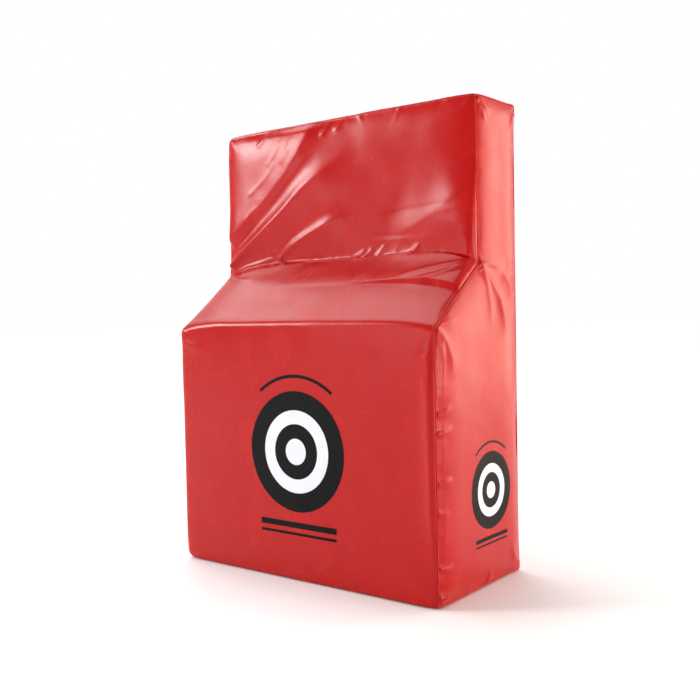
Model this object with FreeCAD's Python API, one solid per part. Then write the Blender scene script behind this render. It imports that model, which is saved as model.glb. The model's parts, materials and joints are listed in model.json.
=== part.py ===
"""Stepped foam strike shield: a sewn vinyl cover over a foam core, with a zip and two handles behind.

Millimetres. +X runs across the shield, +Y to its back, +Z up. The origin is the centre of the
base, on the surface that the shield stands on. Each sub-part is written to parts/NAME.step.
"""
import FreeCAD, Part
import math
import os

from FreeCAD import Vector

# ---- overall sizes ----
WIDTH = 500.0
HEIGHT = 720.0
BASE_DEPTH = 240.0        # front of the step to the back of the shield
SLAB_DEPTH = 120.0        # front of the upper face to the back
STEP_HEIGHT = 383.0       # top of the lower front face
SHOULDER_HEIGHT = 474.0   # where the sloping shoulder meets the upper face

# ---- cover ----
VINYL = 1.0               # side, front, top and back panels
BASE_VINYL = 1.2          # the heavier panel underneath
CREASE_RADIUS = 14.0      # bend at the top of the lower front face
CROOK_RADIUS = 10.0       # bend where the shoulder meets the upper face
BINDING_WIDTH = 12.0
BINDING_THICKNESS = 1.6
BINDING_GAP = 0.3         # between the binding and the panels beside it

# ---- filling ----
CORE_EASE = 0.5           # between the foam and the front and top panels
SIDE_ALLOWANCE = 2.2      # room for the binding beside the foam
BACK_ALLOWANCE = 3.0      # room for tapes and strips behind the foam
BOARD_THICKNESS = 25.0

# ---- zip ----
ZIP_HEIGHT = 52.0         # centre line of the chain
ZIP_OPENING = 12.0        # between the edges of the two back panels
ZIP_END_MARGIN = 22.0     # from a side of the shield to the end of the chain
TAPE_WIDTH = 15.0
TAPE_THICKNESS = 0.6
TAPE_GAP = 0.2            # between a tape and the panel it is sewn behind
CHAIN_SPLIT = 1.2         # between the upper and the lower coil
COIL_HEIGHT = 3.0
COIL_THICKNESS = 2.2
COIL_ROUNDING = 0.3       # share of the coil's thickness
COIL_LIFT = 0.05          # coil above its tape
STOP_LENGTH = 3.0
STOP_WALL = 0.7
TAB_LENGTH = 16.0
TAB_MARGIN = 3.0          # tab past the edges of the zip opening

# ---- slider and pull ----
SLIDER_CLEARANCE = 0.35
SLIDER_LENGTH = 15.0
SLIDER_PLATE = 1.2
SLIDER_WALL = 1.2
SLIDER_NOSE = 9.0         # width of the plates at the narrow end
WEB_THICKNESS = 0.6
WEB_LENGTH = 4.0
BRIDGE_WIDTH = 3.2
BRIDGE_BAR = 1.3
BRIDGE_SPACE = 2.7        # room under the bridge bar
PIVOT_RADIUS = 0.9
PIVOT_CLEARANCE = 0.6     # along the slide, each side of the pivot
PULL_THICKNESS = 1.6
PULL_WIDTH = 8.0
PULL_WINDOW = 4.4
PULL_REACH = 5.0          # from the pivot to the end of the window
PULL_LENGTH = 30.0
PULL_HOLE = 1.6
PULL_TIP_RADIUS = 3.6

# ---- handles ----
HANDLE_SPACING = 250.0    # between the two straps' centre lines
HANDLE_HEIGHT = 430.0     # middle of the grips
WEBBING_WIDTH = 38.0
WEBBING_THICKNESS = 2.5
HAND_CLEARANCE = 42.0     # from the back panel to the grip sleeve
ANCHOR_SPACING = 244.0    # between the inner ends of the two sewn lengths
SEWN_LENGTH = 42.0
GRIP_RUN = 168.0          # the straight length that is furthest from the panel
ANCHOR_BEND = 12.0
GRIP_BEND = 18.0
GRIP_LENGTH = 125.0
GRIP_FOAM = 5.0
SLEEVE = 1.2
GRIP_CORNER = 5.3         # rounding of the grip foam's long edges
WRAP_CLEARANCE = 0.05     # foam on webbing, and sleeve on foam
STRAP_LIFT = 0.3          # webbing above its patch
PATCH_THICKNESS = 1.0
PATCH_MARGIN = 10.0       # patch past the edges of the sewn length
PATCH_CORNER = 8.0
STRIP_WIDTH = 42.0
STRIP_THICKNESS = 1.6
STRIP_GAP = 0.2

# ---- vents ----
VENT_COUNT = 4
VENT_PITCH = 60.0
VENT_DROP = 70.0          # below the top of the shield
VENT_RADIUS = 4.0
EYELET_WALL = 0.7
EYELET_FLANGE = 8.5
EYELET_THICKNESS = 0.9
EYELET_CLEARANCE = 0.1
WASHER_THICKNESS = 0.6

# ---- places that follow from the sizes ----
FRONT = -BASE_DEPTH / 2
BACK = BASE_DEPTH / 2
UPPER_FRONT = BACK - SLAB_DEPTH
BAND_HALF = WIDTH / 2 - VINYL
PANEL_INSIDE = BACK - VINYL
CORE_HALF = BAND_HALF - SIDE_ALLOWANCE
CORE_TOP = HEIGHT - VINYL - CORE_EASE
CORE_BACK = PANEL_INSIDE - BACK_ALLOWANCE
BOARD_FRONT = CORE_BACK - BOARD_THICKNESS
SLAB_FRONT = UPPER_FRONT + VINYL + CORE_EASE
ZIP_LOW = ZIP_HEIGHT - ZIP_OPENING / 2
ZIP_HIGH = ZIP_HEIGHT + ZIP_OPENING / 2
CHAIN_HALF = WIDTH / 2 - ZIP_END_MARGIN
TAPE_BACK = PANEL_INSIDE - TAPE_GAP
TAPE_FRONT = TAPE_BACK - TAPE_THICKNESS
COIL_FRONT = TAPE_BACK + COIL_LIFT
COIL_BACK = COIL_FRONT + COIL_THICKNESS
CHAIN_REACH = CHAIN_SPLIT / 2 + COIL_HEIGHT
SLIDER_TOP = COIL_BACK + SLIDER_CLEARANCE + SLIDER_PLATE
SLIDER_UNDER = TAPE_FRONT - SLIDER_CLEARANCE - SLIDER_PLATE
SLIDER_START = CHAIN_HALF - STOP_LENGTH - SLIDER_LENGTH / 2 - 1.0
PIVOT_DEPTH = SLIDER_TOP + BRIDGE_SPACE / 2
PATCH_BACK = BACK + PATCH_THICKNESS
STRAP_SEAT = PATCH_BACK + STRAP_LIFT + WEBBING_THICKNESS / 2
WRAP = WRAP_CLEARANCE * 2 + GRIP_FOAM + SLEEVE
GRIP_DEPTH = BACK + HAND_CLEARANCE + WRAP + WEBBING_THICKNESS / 2
VENT_HEIGHT = HEIGHT - VENT_DROP


ALONG_X = Vector(1, 0, 0)
ALONG_Y = Vector(0, 1, 0)
ALONG_Z = Vector(0, 0, 1)


# ---- shapes ----
def box(low, high):
    """A box between two corners."""
    size = [b - a for a, b in zip(low, high)]
    return Part.makeBox(*size, Vector(*low))


def rounded_line(points, radii):
    """Edges along the points, each inner point rounded to its radius with a tangent arc."""
    edges = []
    start = points[0]
    for before, corner, after, radius in zip(points, points[1:], points[2:], radii):
        back = (before - corner).normalize()
        ahead = (after - corner).normalize()
        half = back.getAngle(ahead) / 2
        reach = radius / math.tan(half)
        middle = (back + ahead).normalize() * (radius / math.sin(half) - radius)
        enter = corner + back * reach
        leave = corner + ahead * reach
        edges.append(Part.LineSegment(start, enter).toShape())
        edges.append(Part.Arc(enter, corner + middle, leave).toShape())
        start = leave
    edges.append(Part.LineSegment(start, points[-1]).toShape())
    return edges


def offset_line(points, distance):
    """The open line moved sideways by a distance, to the left of its direction seen from +X."""
    moved = []
    for index, point in enumerate(points):
        ways = []
        if index > 0:
            ways.append((point - points[index - 1]).normalize())
        if index < len(points) - 1:
            ways.append((points[index + 1] - point).normalize())
        sides = [Vector(0, -way.z, way.y) for way in ways]
        total = sides[0] + sides[-1]
        moved.append(point + total * (2 * distance / total.dot(total)))
    return moved


def bent_sheet(points, radii, thickness, x_low, x_high):
    """A sheet that follows a line in the YZ plane, its thickness to the left of the line."""
    turns = []
    for before, corner, after in zip(points, points[1:], points[2:]):
        turns.append((corner - before).cross(after - corner).x)
    inner_radii = [r - thickness if turn > 0 else r + thickness for r, turn in zip(radii, turns)]
    outside = rounded_line(points, radii)
    inner = offset_line(points, thickness)
    inside = rounded_line(inner[::-1], inner_radii[::-1])
    ends = [
        Part.LineSegment(points[-1], inner[-1]).toShape(),
        Part.LineSegment(inner[0], points[0]).toShape(),
    ]
    wire = Part.Wire(outside + [ends[0]] + inside + [ends[1]])
    face = Part.Face(wire)
    face.translate(Vector(x_low, 0, 0))
    return face.extrude(Vector(x_high - x_low, 0, 0))


def plate_along_x(points, radii, x_low, x_high):
    """A flat plate between two X places, its outline a closed line in the YZ plane.

    The outline starts and ends in the middle of its first edge, so every corner can be rounded.
    """
    middle = (points[0] + points[-1]) * 0.5
    edges = rounded_line([middle] + points + [middle], radii)
    face = Part.Face(Part.Wire(edges))
    face.translate(Vector(x_low, 0, 0))
    return face.extrude(Vector(x_high - x_low, 0, 0))


def edges_along(shape, axis):
    """The shape's straight edges that run along an axis."""
    straight = [e for e in shape.Edges if e.Curve.TypeId == "Part::GeomLine"]
    return [e for e in straight if abs(e.tangentAt(e.FirstParameter).dot(axis)) > 0.9]


def disc(x, z, radius, y_low, y_high):
    """A round plate whose axis runs to the back."""
    return Part.makeCylinder(radius, y_high - y_low, Vector(x, y_low, z), Vector(0, 1, 0))


# ---- cover ----
def front_line(inset):
    """The line of the front band from the base to the top, moved inwards."""
    line = [
        Vector(0, FRONT, BASE_VINYL),
        Vector(0, FRONT, STEP_HEIGHT),
        Vector(0, UPPER_FRONT, SHOULDER_HEIGHT),
        Vector(0, UPPER_FRONT, HEIGHT - VINYL),
    ]
    return offset_line(line, -inset)


def side_outline(inset, low, high):
    """The stepped outline of a side, moved inwards from the front, with its own ends and back."""
    line = front_line(inset)
    line[0].z = low
    line[-1].z = high
    back = BACK - inset
    return line + [Vector(0, back, high), Vector(0, back, low)]


def outline_radii(inset):
    """Corner radii for side_outline: only the two bends in the front are round."""
    sharp = 0.2
    return [sharp, CREASE_RADIUS - inset, CROOK_RADIUS + inset, sharp, sharp, sharp]


def front_panel():
    return bent_sheet(
        front_line(0)[::-1], [CROOK_RADIUS, CREASE_RADIUS], VINYL, -BAND_HALF, BAND_HALF
    )


def side_panel(side):
    places = sorted((side * BAND_HALF, side * WIDTH / 2))
    return plate_along_x(side_outline(0, BASE_VINYL, HEIGHT), outline_radii(0), *places)


def seam_binding(side):
    """A ring of bound seam allowance that lies inside the side panel's outline."""
    near = BAND_HALF - BINDING_GAP
    places = sorted((side * near, side * (near - BINDING_THICKNESS)))
    outer = VINYL + BINDING_GAP
    inner = outer + BINDING_WIDTH
    ring = plate_along_x(
        side_outline(outer, BASE_VINYL + BINDING_GAP, HEIGHT - outer),
        outline_radii(outer),
        *places,
    )
    crease = [0.2, 1.0, CROOK_RADIUS + inner, 0.2, 0.2, 0.2]
    hole = plate_along_x(
        side_outline(inner, BASE_VINYL + BINDING_GAP + BINDING_WIDTH, HEIGHT - inner),
        crease,
        *places,
    )
    return ring.cut(hole)


def top_panel():
    return box((-BAND_HALF, UPPER_FRONT, HEIGHT - VINYL), (BAND_HALF, BACK, HEIGHT))


def base_panel():
    return box((-WIDTH / 2, FRONT, 0), (WIDTH / 2, BACK, BASE_VINYL))


def vent_places():
    first = -VENT_PITCH * (VENT_COUNT - 1) / 2
    return [first + VENT_PITCH * index for index in range(VENT_COUNT)]


def back_panel():
    panel = box((-BAND_HALF, PANEL_INSIDE, ZIP_HIGH), (BAND_HALF, BACK, HEIGHT - VINYL))
    hole_radius = VENT_RADIUS + EYELET_WALL + EYELET_CLEARANCE
    for x in vent_places():
        panel = panel.cut(disc(x, VENT_HEIGHT, hole_radius, PANEL_INSIDE - 1, BACK + 1))
    return panel


def back_hem_panel():
    return box((-BAND_HALF, PANEL_INSIDE, BASE_VINYL), (BAND_HALF, BACK, ZIP_LOW))


# ---- filling ----
def core_back_slab():
    return box((-CORE_HALF, SLAB_FRONT, BASE_VINYL), (CORE_HALF, BOARD_FRONT, CORE_TOP))


def core_step_block():
    """The lower block, under the front band, cut off where it meets the slab."""
    line = front_line(VINYL + CORE_EASE)
    slope = (line[2] - line[1]).normalize()
    ridge = line[1] + slope * ((SLAB_FRONT - line[1].y) / slope.y)
    outline = [
        Vector(0, line[0].y, BASE_VINYL),
        line[1],
        ridge,
        Vector(0, SLAB_FRONT, BASE_VINYL),
    ]
    radii = [0.2, CREASE_RADIUS - VINYL - CORE_EASE, 0.2, 0.2]
    block = plate_along_x(outline, radii, -CORE_HALF, CORE_HALF)
    # the crook in the front band turns before the slab does, so the block clears its bend
    bend = CROOK_RADIUS + VINYL + CORE_EASE
    clear = box((-CORE_HALF - 1, SLAB_FRONT - 0.1, ridge.z - 0.1), (CORE_HALF + 1, bend, HEIGHT))
    return block.cut(clear)


def backing_board():
    """Firm sheet behind the slab, with a shallow groove so that the slider has room."""
    board = box((-CORE_HALF, BOARD_FRONT, BASE_VINYL), (CORE_HALF, CORE_BACK, CORE_TOP))
    groove_depth = CORE_BACK - SLIDER_UNDER + 2 * SLIDER_CLEARANCE
    reach = CHAIN_REACH + SLIDER_WALL + 4
    groove = box(
        (-CORE_HALF - 1, CORE_BACK - groove_depth, ZIP_HEIGHT - reach),
        (CORE_HALF + 1, CORE_BACK + 1, ZIP_HEIGHT + reach),
    )
    return board.cut(groove)


# ---- zip ----
def across(side, near, far):
    """Sorted heights at two distances from the chain's centre line, above it or below."""
    return sorted((ZIP_HEIGHT + side * near, ZIP_HEIGHT + side * far))


def zip_tape(side):
    low, high = across(side, CHAIN_SPLIT / 2, CHAIN_SPLIT / 2 + TAPE_WIDTH)
    return box((-CORE_HALF, TAPE_FRONT, low), (CORE_HALF, TAPE_BACK, high))


def zip_coil(side):
    low, high = across(side, CHAIN_SPLIT / 2, CHAIN_REACH)
    coil = box((-CHAIN_HALF, COIL_FRONT, low), (CHAIN_HALF, COIL_BACK, high))
    return coil.makeFillet(COIL_THICKNESS * COIL_ROUNDING, edges_along(coil, ALONG_X))


def zip_end_stops():
    """A crimped stop past each end of the chain, on the outside of the tapes."""
    stops = []
    for side in (-1, 1):
        near, far = sorted((side * (CHAIN_HALF + 0.2), side * (CHAIN_HALF + 0.2 + STOP_LENGTH)))
        stop = box(
            (near, COIL_FRONT, ZIP_HEIGHT - CHAIN_REACH),
            (far, COIL_BACK + STOP_WALL, ZIP_HEIGHT + CHAIN_REACH),
        )
        stops.append(stop.makeFillet(STOP_WALL, stop.Edges))
    return Part.makeCompound(stops)


def zip_end_tabs():
    """A folded vinyl tab over each end of the zip, past its stop."""
    tabs = []
    start = CHAIN_HALF + STOP_LENGTH + 1.0
    for side in (-1, 1):
        near, far = sorted((side * start, side * min(start + TAB_LENGTH, BAND_HALF)))
        tabs.append(
            box(
                (near, BACK, ZIP_LOW - TAB_MARGIN),
                (far, BACK + VINYL, ZIP_HIGH + TAB_MARGIN),
            )
        )
    return Part.makeCompound(tabs)


def tapered_plate(length, wide, narrow, y_low, y_high, centre):
    """A slider plate, wide where the chain is open and narrow where it is closed."""
    half = length / 2
    outline = [
        Vector(-half, y_low, wide / 2),
        Vector(0, y_low, wide / 2),
        Vector(half, y_low, narrow / 2),
        Vector(half, y_low, -narrow / 2),
        Vector(0, y_low, -wide / 2),
        Vector(-half, y_low, -wide / 2),
    ]
    middle = (outline[0] + outline[-1]) * 0.5
    edges = rounded_line([middle] + outline + [middle], [1.5, 3.0, 1.5, 1.5, 3.0, 1.5])
    plate = Part.Face(Part.Wire(edges)).extrude(Vector(0, y_high - y_low, 0))
    plate.translate(Vector(centre, 0, ZIP_HEIGHT))
    return plate


def zip_slider():
    """Two plates round the chain, joined by a thin web between the coils, with lips and a bridge."""
    reach = CHAIN_REACH + SLIDER_CLEARANCE + SLIDER_WALL
    top_inside = SLIDER_TOP - SLIDER_PLATE
    under_inside = SLIDER_UNDER + SLIDER_PLATE
    nose = max(SLIDER_NOSE, 2 * reach)
    outer = tapered_plate(
        SLIDER_LENGTH, 2 * reach + 1.6, nose, top_inside, SLIDER_TOP, SLIDER_START
    )
    under = tapered_plate(
        SLIDER_LENGTH, 2 * reach + 1.6, nose, SLIDER_UNDER, under_inside, SLIDER_START
    )
    slider = outer.fuse(under)
    slider = slider.fuse(
        box(
            (SLIDER_START - WEB_LENGTH / 2, SLIDER_UNDER, ZIP_HEIGHT - WEB_THICKNESS / 2),
            (SLIDER_START + WEB_LENGTH / 2, SLIDER_TOP, ZIP_HEIGHT + WEB_THICKNESS / 2),
        )
    )
    lip_length = SLIDER_LENGTH * 0.8
    for side in (-1, 1):
        low, high = across(side, CHAIN_REACH + SLIDER_CLEARANCE, reach)
        slider = slider.fuse(
            box(
                (SLIDER_START - lip_length / 2, TAPE_BACK + SLIDER_CLEARANCE, low),
                (SLIDER_START + lip_length / 2, SLIDER_TOP, high),
            )
        )
    post = PIVOT_RADIUS + PIVOT_CLEARANCE
    bridge = box(
        (SLIDER_START - post - BRIDGE_BAR, SLIDER_TOP - 0.2, ZIP_HEIGHT - BRIDGE_WIDTH / 2),
        (
            SLIDER_START + post + BRIDGE_BAR,
            SLIDER_TOP + BRIDGE_SPACE + BRIDGE_BAR,
            ZIP_HEIGHT + BRIDGE_WIDTH / 2,
        ),
    )
    shoulders = [e for e in edges_along(bridge, ALONG_Z) if e.CenterOfMass.y > PIVOT_DEPTH]
    bridge = bridge.makeFillet(BRIDGE_BAR, shoulders)
    bridge = bridge.cut(
        box(
            (SLIDER_START - post, SLIDER_TOP, ZIP_HEIGHT - BRIDGE_WIDTH),
            (SLIDER_START + post, SLIDER_TOP + BRIDGE_SPACE, ZIP_HEIGHT + BRIDGE_WIDTH),
        )
    )
    return slider.fuse(bridge).removeSplitter()


def zip_pull():
    """A flat tab with a window round the bridge, a round pivot bar and a hole for a cord."""
    low = PIVOT_DEPTH - PULL_THICKNESS / 2
    high = PIVOT_DEPTH + PULL_THICKNESS / 2
    blade = box(
        (SLIDER_START - PULL_LENGTH, low, ZIP_HEIGHT - PULL_WIDTH / 2),
        (SLIDER_START, high, ZIP_HEIGHT + PULL_WIDTH / 2),
    )
    middle = SLIDER_START - PULL_LENGTH / 2
    tip = [e for e in edges_along(blade, ALONG_Y) if e.CenterOfMass.x < middle]
    blade = blade.makeFillet(PULL_TIP_RADIUS, tip)
    window = box(
        (SLIDER_START - PULL_REACH, low - 1, ZIP_HEIGHT - PULL_WINDOW / 2),
        (SLIDER_START + 1, high + 1, ZIP_HEIGHT + PULL_WINDOW / 2),
    )
    eye = Part.makeCylinder(
        PULL_HOLE,
        PULL_THICKNESS + 2,
        Vector(SLIDER_START - PULL_LENGTH + PULL_WIDTH / 2, low - 1, ZIP_HEIGHT),
        Vector(0, 1, 0),
    )
    bar = Part.makeCylinder(
        PIVOT_RADIUS,
        PULL_WIDTH,
        Vector(SLIDER_START, PIVOT_DEPTH, ZIP_HEIGHT - PULL_WIDTH / 2),
        Vector(0, 0, 1),
    )
    return blade.cut(window).cut(eye).fuse(bar)


# ---- handles ----
def strap_line():
    """The middle of the webbing's thickness, from its lower sewn end to its upper one."""
    half = ANCHOR_SPACING / 2
    run = GRIP_RUN / 2
    heights = [-half - SEWN_LENGTH, -half, -run, run, half, half + SEWN_LENGTH]
    depths = [STRAP_SEAT, STRAP_SEAT, GRIP_DEPTH, GRIP_DEPTH, STRAP_SEAT, STRAP_SEAT]
    return [Vector(0, y, HANDLE_HEIGHT + z) for y, z in zip(depths, heights)]


def handle_webbing(side):
    centre = side * HANDLE_SPACING / 2
    half = WEBBING_THICKNESS / 2
    line = offset_line(strap_line(), -half)
    radii = [ANCHOR_BEND - half, GRIP_BEND + half, GRIP_BEND + half, ANCHOR_BEND - half]
    return bent_sheet(
        line,
        radii,
        WEBBING_THICKNESS,
        centre - WEBBING_WIDTH / 2,
        centre + WEBBING_WIDTH / 2,
    )


def grip_bar(side, grown, length, corner):
    """An upright bar round the webbing, this much larger than the webbing all round."""
    centre = side * HANDLE_SPACING / 2
    half_x = WEBBING_WIDTH / 2 + grown
    half_y = WEBBING_THICKNESS / 2 + grown
    bar = box(
        (centre - half_x, GRIP_DEPTH - half_y, HANDLE_HEIGHT - length / 2),
        (centre + half_x, GRIP_DEPTH + half_y, HANDLE_HEIGHT + length / 2),
    )
    if corner == 0:
        return bar
    return bar.makeFillet(min(corner, half_y * 0.9), edges_along(bar, ALONG_Z))


def grip_foam(side):
    """Foam with a plain slot for the webbing."""
    outside = grip_bar(side, WRAP_CLEARANCE + GRIP_FOAM, GRIP_LENGTH, GRIP_CORNER)
    return outside.cut(grip_bar(side, WRAP_CLEARANCE, GRIP_LENGTH + 2, 0))


def grip_sleeve(side):
    inside = 2 * WRAP_CLEARANCE + GRIP_FOAM
    outside = grip_bar(side, inside + SLEEVE, GRIP_LENGTH, GRIP_CORNER + SLEEVE)
    return outside.cut(grip_bar(side, inside, GRIP_LENGTH + 2, GRIP_CORNER))


def sewn_places():
    """The middle height of each sewn length, lower then upper."""
    reach = ANCHOR_SPACING / 2 + SEWN_LENGTH / 2
    return [HANDLE_HEIGHT - reach, HANDLE_HEIGHT + reach]


def anchor_patches():
    """Four rounded patches on the back panel, one under each sewn end of the webbing."""
    patches = []
    half_x = WEBBING_WIDTH / 2 + PATCH_MARGIN
    half_z = SEWN_LENGTH / 2 + PATCH_MARGIN
    for side in (-1, 1):
        x = side * HANDLE_SPACING / 2
        for z in sewn_places():
            patch = box((x - half_x, BACK, z - half_z), (x + half_x, PATCH_BACK, z + half_z))
            patches.append(patch.makeFillet(PATCH_CORNER, edges_along(patch, ALONG_Y)))
    return Part.makeCompound(patches)


def anchor_backing(side):
    """A strip of webbing inside the cover that ties a handle's two sewn ends together."""
    x = side * HANDLE_SPACING / 2
    low, high = sewn_places()
    reach = SEWN_LENGTH / 2 + PATCH_MARGIN
    return box(
        (x - STRIP_WIDTH / 2, PANEL_INSIDE - STRIP_GAP - STRIP_THICKNESS, low - reach),
        (x + STRIP_WIDTH / 2, PANEL_INSIDE - STRIP_GAP, high + reach),
    )


# ---- vents ----
def vent_eyelets():
    eyelets = []
    barrel = VENT_RADIUS + EYELET_WALL
    inner_end = PANEL_INSIDE - EYELET_CLEARANCE - WASHER_THICKNESS - EYELET_CLEARANCE
    for x in vent_places():
        flange = disc(x, VENT_HEIGHT, EYELET_FLANGE, BACK, BACK + EYELET_THICKNESS)
        rim = [e for e in flange.Edges if e.CenterOfMass.y > BACK + 0.1 and e.Closed]
        flange = flange.makeFillet(EYELET_THICKNESS * 0.6, rim)
        tube = disc(x, VENT_HEIGHT, barrel, inner_end, BACK + EYELET_THICKNESS / 2)
        way = disc(x, VENT_HEIGHT, VENT_RADIUS, inner_end - 1, BACK + EYELET_THICKNESS + 1)
        eyelets.append(flange.fuse(tube).cut(way))
    return Part.makeCompound(eyelets)


def eyelet_washers():
    washers = []
    back = PANEL_INSIDE - EYELET_CLEARANCE
    hole = VENT_RADIUS + EYELET_WALL + EYELET_CLEARANCE
    for x in vent_places():
        washer = disc(x, VENT_HEIGHT, EYELET_FLANGE, back - WASHER_THICKNESS, back)
        washers.append(washer.cut(disc(x, VENT_HEIGHT, hole, back - 2, back + 1)))
    return Part.makeCompound(washers)


# ---- the whole shield ----
SUBPARTS = {
    "front_panel": front_panel(),
    "side_panel_left": side_panel(-1),
    "side_panel_right": side_panel(1),
    "top_panel": top_panel(),
    "base_panel": base_panel(),
    "back_panel": back_panel(),
    "back_hem_panel": back_hem_panel(),
    "seam_binding_left": seam_binding(-1),
    "seam_binding_right": seam_binding(1),
    "core_back_slab": core_back_slab(),
    "core_step_block": core_step_block(),
    "backing_board": backing_board(),
    "zip_tape_upper": zip_tape(1),
    "zip_tape_lower": zip_tape(-1),
    "zip_coil_upper": zip_coil(1),
    "zip_coil_lower": zip_coil(-1),
    "zip_end_stops": zip_end_stops(),
    "zip_end_tabs": zip_end_tabs(),
    "zip_slider": zip_slider(),
    "zip_pull": zip_pull(),
    "handle_webbing_left": handle_webbing(-1),
    "handle_webbing_right": handle_webbing(1),
    "grip_foam_left": grip_foam(-1),
    "grip_foam_right": grip_foam(1),
    "grip_sleeve_left": grip_sleeve(-1),
    "grip_sleeve_right": grip_sleeve(1),
    "anchor_patches": anchor_patches(),
    "anchor_backing_left": anchor_backing(-1),
    "anchor_backing_right": anchor_backing(1),
    "vent_eyelets": vent_eyelets(),
    "eyelet_washers": eyelet_washers(),
}

os.makedirs("parts", exist_ok=True)
for name, shape in SUBPARTS.items():
    shape.exportStep(f"parts/{name}.step")
    solids = len(shape.Solids)
    print(f"{name}: {solids} solid(s), {shape.Volume / 1000:.2f} cm3, valid {shape.isValid()}")
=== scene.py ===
import json
import math
import random

import bmesh
import bpy
import numpy as np
from mathutils import Matrix, Vector, noise
from mathutils.bvhtree import BVHTree

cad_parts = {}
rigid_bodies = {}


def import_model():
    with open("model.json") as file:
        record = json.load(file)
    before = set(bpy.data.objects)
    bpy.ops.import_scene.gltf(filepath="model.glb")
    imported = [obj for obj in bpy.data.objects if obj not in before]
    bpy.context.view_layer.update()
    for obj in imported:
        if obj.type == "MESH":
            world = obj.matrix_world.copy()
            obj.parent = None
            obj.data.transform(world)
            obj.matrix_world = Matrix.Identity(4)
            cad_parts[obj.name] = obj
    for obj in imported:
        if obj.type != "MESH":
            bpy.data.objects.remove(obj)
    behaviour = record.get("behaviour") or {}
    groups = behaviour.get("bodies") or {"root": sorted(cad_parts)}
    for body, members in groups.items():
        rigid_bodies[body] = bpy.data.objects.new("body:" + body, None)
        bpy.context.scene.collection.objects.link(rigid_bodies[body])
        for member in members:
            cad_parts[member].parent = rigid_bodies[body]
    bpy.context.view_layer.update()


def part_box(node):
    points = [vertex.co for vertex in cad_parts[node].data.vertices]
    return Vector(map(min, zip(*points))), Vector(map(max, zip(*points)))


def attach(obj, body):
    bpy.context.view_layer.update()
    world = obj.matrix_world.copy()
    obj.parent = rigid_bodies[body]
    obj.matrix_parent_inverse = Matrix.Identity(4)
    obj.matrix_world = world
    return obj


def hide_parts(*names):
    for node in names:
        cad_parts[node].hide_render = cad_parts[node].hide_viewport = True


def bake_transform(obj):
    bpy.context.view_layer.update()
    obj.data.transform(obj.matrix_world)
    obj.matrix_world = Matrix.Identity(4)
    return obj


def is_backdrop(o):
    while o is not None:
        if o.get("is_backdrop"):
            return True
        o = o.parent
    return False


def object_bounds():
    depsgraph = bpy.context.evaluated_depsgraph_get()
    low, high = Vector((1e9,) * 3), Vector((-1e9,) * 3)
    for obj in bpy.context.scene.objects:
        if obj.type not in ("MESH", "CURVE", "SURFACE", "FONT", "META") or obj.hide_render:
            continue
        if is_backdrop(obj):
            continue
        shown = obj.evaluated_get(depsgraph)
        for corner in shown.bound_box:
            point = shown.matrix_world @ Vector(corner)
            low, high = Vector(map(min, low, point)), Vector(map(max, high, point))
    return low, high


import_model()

MM = 0.001

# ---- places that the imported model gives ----
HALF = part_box("side_panel_right")[1].x
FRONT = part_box("front_panel")[0].y
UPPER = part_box("top_panel")[0].y
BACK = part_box("back_panel")[1].y
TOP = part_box("top_panel")[1].z
ZIP_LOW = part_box("back_hem_panel")[1].z
ZIP_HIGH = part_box("back_panel")[0].z

# ---- sizes of the cover ----
STEP = 0.383              # top of the lower front face
SHOULDER = 0.474          # where the slope meets the upper face
CREASE_BEND = 14 * MM
CROOK_BEND = 10 * MM
EDGE_ROUND = 9 * MM       # foam seen through the vinyl at a seam
EAR_REACH = 24 * MM       # how far from a corner its own rounding is felt
SEAM_DEPTH = 0.6 * MM
SEAM_WIDTH = 1.3 * MM
LIP_HEIGHT = 0.8 * MM     # band panel's edge over its seam allowance
LIP_PLACE = 3.0 * MM
CROOK_RISE = 18 * MM      # the slope's foam pushes the bend up between its ends
CREASE_RISE = 11 * MM     # and the front's top edge too
SEAM_STEPS = [0, 1.0 * MM, 2.2 * MM, 3.6 * MM, 5.5 * MM, 8.5 * MM, 12 * MM]
SPACING = 6.5 * MM
WIDE_COUNT = 74
DEEP_COUNT = 34

# ---- how the cover swells ----
SWELL_FRAMES = 16
SWELL_CAP = 8 * MM
PRESSURE = 4.0
SLACK = 0.03              # extra length of the vinyl beside the seams
SLACK_REACH = 26 * MM

VENTS = [-90 * MM, -30 * MM, 30 * MM, 90 * MM]    # places of the eyelets across the back
FAR = 9.0                 # metres, further than anything on the shield
TOUCHING = 0.01 * MM      # nearer than this is on a panel
BESIDE_LINE = 0.4 * MM    # the same for the front, whose bends are short straight runs
OUTSIDE = 0.5             # a ray that looks for the cover starts this far out

PANELS = [
    "front_panel", "side_panel_left", "side_panel_right",
    "top_panel", "base_panel", "back_panel", "back_hem_panel",
]


# ---- materials ----
def colour(code):
    """An sRGB hex colour as linear RGBA."""
    parts = [int(code[i:i + 2], 16) / 255 for i in (1, 3, 5)]
    return (*[c / 12.92 if c <= 0.04045 else ((c + 0.055) / 1.055) ** 2.4 for c in parts], 1.0)


def add(tree, kind, inputs=(), stops=(), **settings):
    """A shader node with its settings. An input is a value, a socket, or a node whose first output in
    use is taken. Stops are a colour ramp's places, each with a hex colour or a grey level."""
    made = tree.nodes.new("ShaderNode" + kind)
    for name, value in settings.items():
        setattr(made, name, value)
    for name, value in dict(inputs).items():
        if isinstance(value, bpy.types.Node):
            value = next(output for output in value.outputs if output.enabled)
        if isinstance(value, bpy.types.NodeSocket):
            tree.links.new(value, made.inputs[name])
        else:
            made.inputs[name].default_value = value
    if stops:
        elements = made.color_ramp.elements
        while len(elements) < len(stops):
            elements.new(0.5)
        for element, (place, value) in zip(elements, stops):
            element.position = place
            element.color = colour(value) if isinstance(value, str) else (value, value, value, 1)
    return made


MIX_SHARE, MIX_FIRST, MIX_SECOND = 0, 6, 7    # which inputs a mix node uses for colours
WAVE_SCALE = 0.314                            # a wave texture's scale that gives one band per unit


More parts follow.
